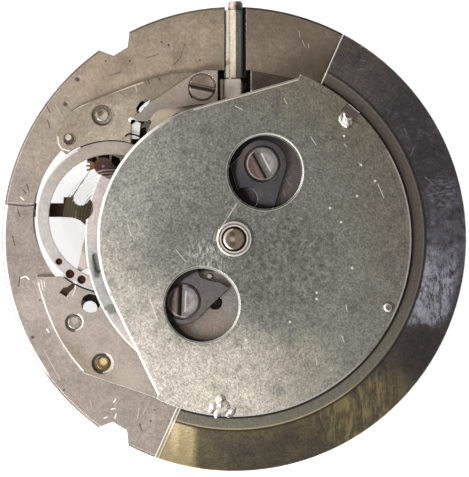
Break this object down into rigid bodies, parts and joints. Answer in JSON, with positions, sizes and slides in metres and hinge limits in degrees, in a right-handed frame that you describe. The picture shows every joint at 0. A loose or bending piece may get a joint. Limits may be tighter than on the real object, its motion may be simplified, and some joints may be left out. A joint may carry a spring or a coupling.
{
  "type": "self-winding mechanical watch movement",
  "caption": "Round self-winding watch movement seen with its half-round weight and rotor plate, rim balance, bridges, gear train, winding stem and dial-side motion work.",
  "frame": {"origin": "centre of the movement on the seat of the dial", "axes": "+Z points away from the dial, to the rotor side; +Y points out along the winding stem; +X completes a right-handed frame"},
  "size_m": [0.026, 0.0263, 0.007],
  "materials": {
    "plate": "nickel plated, matte",
    "steel": "ground",
    "dark_steel": "dark, oiled",
    "blue_steel": "blued",
    "polished_steel": "polished",
    "brass": "matte",
    "balance": "pale nickel alloy",
    "rotor": "matte, scratched",
    "weight": "dark heavy alloy, turned",
    "ruby": "clear red"
  },
  "bodies": {
    "plate": {"mainplate": "plate", "upper_bridge": "plate", "lower_bridge": "plate", "bridge_pins": "polished_steel", "bridge_screws": "steel", "jewels": "ruby", "balance_cock": "plate", "balance_cock_screw": "steel", "hairspring": "blue_steel", "hairspring_stud": "steel", "pallet_bridge": "plate", "click_spring": "blue_steel", "yoke_spring": "blue_steel", "setting_spring_plate": "steel", "setting_plate_screw": "dark_steel", "window_post": "steel", "automatic_plate": "plate", "automatic_screws": "steel", "rotor_bridge": "dark_steel", "rotor_bridge_screws": "dark_steel", "rotor_post": "steel", "rotor_screw": "dark_steel"},
    "balance": {"balance_wheel": "balance", "balance_staff": "polished_steel", "impulse_roller": "polished_steel"},
    "pallets": {"pallet_fork": "brass", "pallet_stones": "ruby", "pallet_staff": "polished_steel"},
    "escape": {"escape_wheel": "brass", "escape_pinion": "polished_steel"},
    "fourth": {"fourth_wheel": "brass", "fourth_pinion": "polished_steel"},
    "third": {"third_wheel": "brass", "third_pinion": "polished_steel"},
    "centre": {"centre_wheel": "brass", "centre_pinion": "polished_steel", "cannon_pinion": "polished_steel"},
    "barrel": {"barrel_drum": "brass", "barrel_lid": "brass", "mainspring": "blue_steel"},
    "barrel_arbor": {"barrel_arbor": "steel", "ratchet_wheel": "steel"},
    "click": {"click": "steel"},
    "crown_wheel": {"crown_wheel": "steel"},
    "winding_pinion": {"winding_pinion": "steel"},
    "winding_stem": {"winding_stem": "steel"},
    "sliding_clutch": {"sliding_clutch": "steel"},
    "setting_lever": {"setting_lever": "steel"},
    "yoke": {"yoke": "steel"},
    "setting_wheel": {"setting_wheel": "brass"},
    "minute_wheel": {"minute_wheel": "brass"},
    "hour_wheel": {"hour_wheel": "brass"},
    "rotor": {"rotor_plate": "rotor", "rotor_weight": "weight", "rotor_rivets": "polished_steel", "rotor_tube": "polished_steel"},
    "reversing_wheel": {"reversing_wheel": "brass"},
    "reversing_pinion": {"reversing_pinion": "steel"},
    "reduction_wheel": {"reduction_wheel": "brass"}
  },
  "joints": [
    {"name": "rotor_spin", "type": "hinge", "parent": "plate", "child": "rotor", "pos_m": [0, 0, 0], "axis": [0, 0, 1], "continuous": true},
    {"name": "reversing_wheel_spin", "type": "hinge", "parent": "plate", "child": "reversing_wheel", "pos_m": [0.00184, -0.00154, 0], "axis": [0, 0, 1], "continuous": true},
    {"name": "barrel_arbor_spin", "type": "hinge", "parent": "plate", "child": "barrel_arbor", "pos_m": [0.00524, 0.00267, 0], "axis": [0, 0, 1], "continuous": true},
    {"name": "crown_wheel_spin", "type": "hinge", "parent": "plate", "child": "crown_wheel", "pos_m": [0.00007, 0.00532, 0], "axis": [0, 0, 1], "continuous": true},
    {"name": "winding_pinion_spin", "type": "hinge", "parent": "plate", "child": "winding_pinion", "pos_m": [0.00007, 0.008, 0.00135], "axis": [0, 1, 0], "continuous": true},
    {"name": "reduction_wheel_spin", "type": "hinge", "parent": "plate", "child": "reduction_wheel", "pos_m": [0.00437, -0.00158, 0], "axis": [0, 0, 1], "continuous": true},
    {"name": "reversing_pinion_spin", "type": "hinge", "parent": "plate", "child": "reversing_pinion", "pos_m": [0.00184, -0.00154, 0], "axis": [0, 0, 1], "continuous": true},
    {"name": "fourth_spin", "type": "hinge", "parent": "plate", "child": "fourth", "pos_m": [-0.00388, 0.00491, 0], "axis": [0, 0, 1], "continuous": true},
    {"name": "escape_spin", "type": "hinge", "parent": "plate", "child": "escape", "pos_m": [-0.00612, 0.00596, 0], "axis": [0, 0, 1], "continuous": true},
    {"name": "third_spin", "type": "hinge", "parent": "plate", "child": "third", "pos_m": [-0.00123, 0.00338, 0], "axis": [0, 0, 1], "continuous": true},
    {"name": "centre_spin", "type": "hinge", "parent": "plate", "child": "centre", "pos_m": [0, 0, 0], "axis": [0, 0, 1], "continuous": true},
    {"name": "barrel_spin", "type": "hinge", "parent": "plate", "child": "barrel", "pos_m": [0.00524, 0.00267, 0], "axis": [0, 0, 1], "continuous": true},
    {"name": "minute_wheel_spin", "type": "hinge", "parent": "plate", "child": "minute_wheel", "pos_m": [0.00052, 0.00193, 0], "axis": [0, 0, 1], "continuous": true},
    {"name": "hour_wheel_spin", "type": "hinge", "parent": "plate", "child": "hour_wheel", "pos_m": [0, 0, 0], "axis": [0, 0, 1], "continuous": true},
    {"name": "setting_wheel_spin", "type": "hinge", "parent": "plate", "child": "setting_wheel", "pos_m": [0.00082, 0.00482, 0], "axis": [0, 0, 1], "continuous": true},
    {"name": "balance_swing", "type": "hinge", "parent": "plate", "child": "balance", "pos_m": [-0.00686, 0.00123, 0], "axis": [0, 0, 1], "range_deg": [-270, 270]},
    {"name": "pallets_rock", "type": "hinge", "parent": "plate", "child": "pallets", "pos_m": [-0.00733, 0.00407, 0], "axis": [0, 0, 1], "range_deg": [-4.5, 4.5]},
    {"name": "click_lift", "type": "hinge", "parent": "plate", "child": "click", "pos_m": [0.0062, -0.00186, 0], "axis": [0, 0, 1], "range_deg": [-2, 4]},
    {"name": "stem_slide", "type": "slide", "parent": "winding_pinion", "child": "winding_stem", "axis": [0, 1, 0], "range_m": [0, 0.0007]},
    {"name": "clutch_slide", "type": "slide", "parent": "winding_pinion", "child": "sliding_clutch", "axis": [0, 1, 0], "range_m": [-0.00055, 0]},
    {"name": "setting_lever_turn", "type": "hinge", "parent": "plate", "child": "setting_lever", "pos_m": [0.00163, 0.00941, 0], "axis": [0, 0, 1], "range_deg": [-25.28, 0]},
    {"name": "yoke_turn", "type": "hinge", "parent": "plate", "child": "yoke", "pos_m": [-0.0031, 0.00637, 0], "axis": [0, 0, 1], "range_deg": [-11.45, 0]}
  ],
  "couplings": [
    {"joint": "reversing_wheel_spin", "follows": "rotor_spin", "ratio": -0.53846},
    {"joint": "crown_wheel_spin", "follows": "barrel_arbor_spin", "ratio": -1.8621},
    {"joint": "winding_pinion_spin", "follows": "barrel_arbor_spin", "ratio": 4.3448},
    {"joint": "reduction_wheel_spin", "follows": "barrel_arbor_spin", "ratio": -6.75},
    {"joint": "reversing_pinion_spin", "follows": "barrel_arbor_spin", "ratio": 24.3},
    {"joint": "escape_spin", "follows": "fourth_spin", "ratio": -10},
    {"joint": "third_spin", "follows": "fourth_spin", "ratio": -0.13333},
    {"joint": "centre_spin", "follows": "fourth_spin", "ratio": 0.016667},
    {"joint": "barrel_spin", "follows": "fourth_spin", "ratio": -0.0027778},
    {"joint": "minute_wheel_spin", "follows": "fourth_spin", "ratio": -0.0055556},
    {"joint": "hour_wheel_spin", "follows": "fourth_spin", "ratio": 0.0013889},
    {"joint": "setting_wheel_spin", "follows": "fourth_spin", "ratio": 0.0059524},
    {"joint": "clutch_slide", "follows": "stem_slide", "ratio": -0.78571},
    {"joint": "setting_lever_turn", "follows": "stem_slide", "rad_per_m": -630.1},
    {"joint": "yoke_turn", "follows": "stem_slide", "rad_per_m": -285.13}
  ]
}
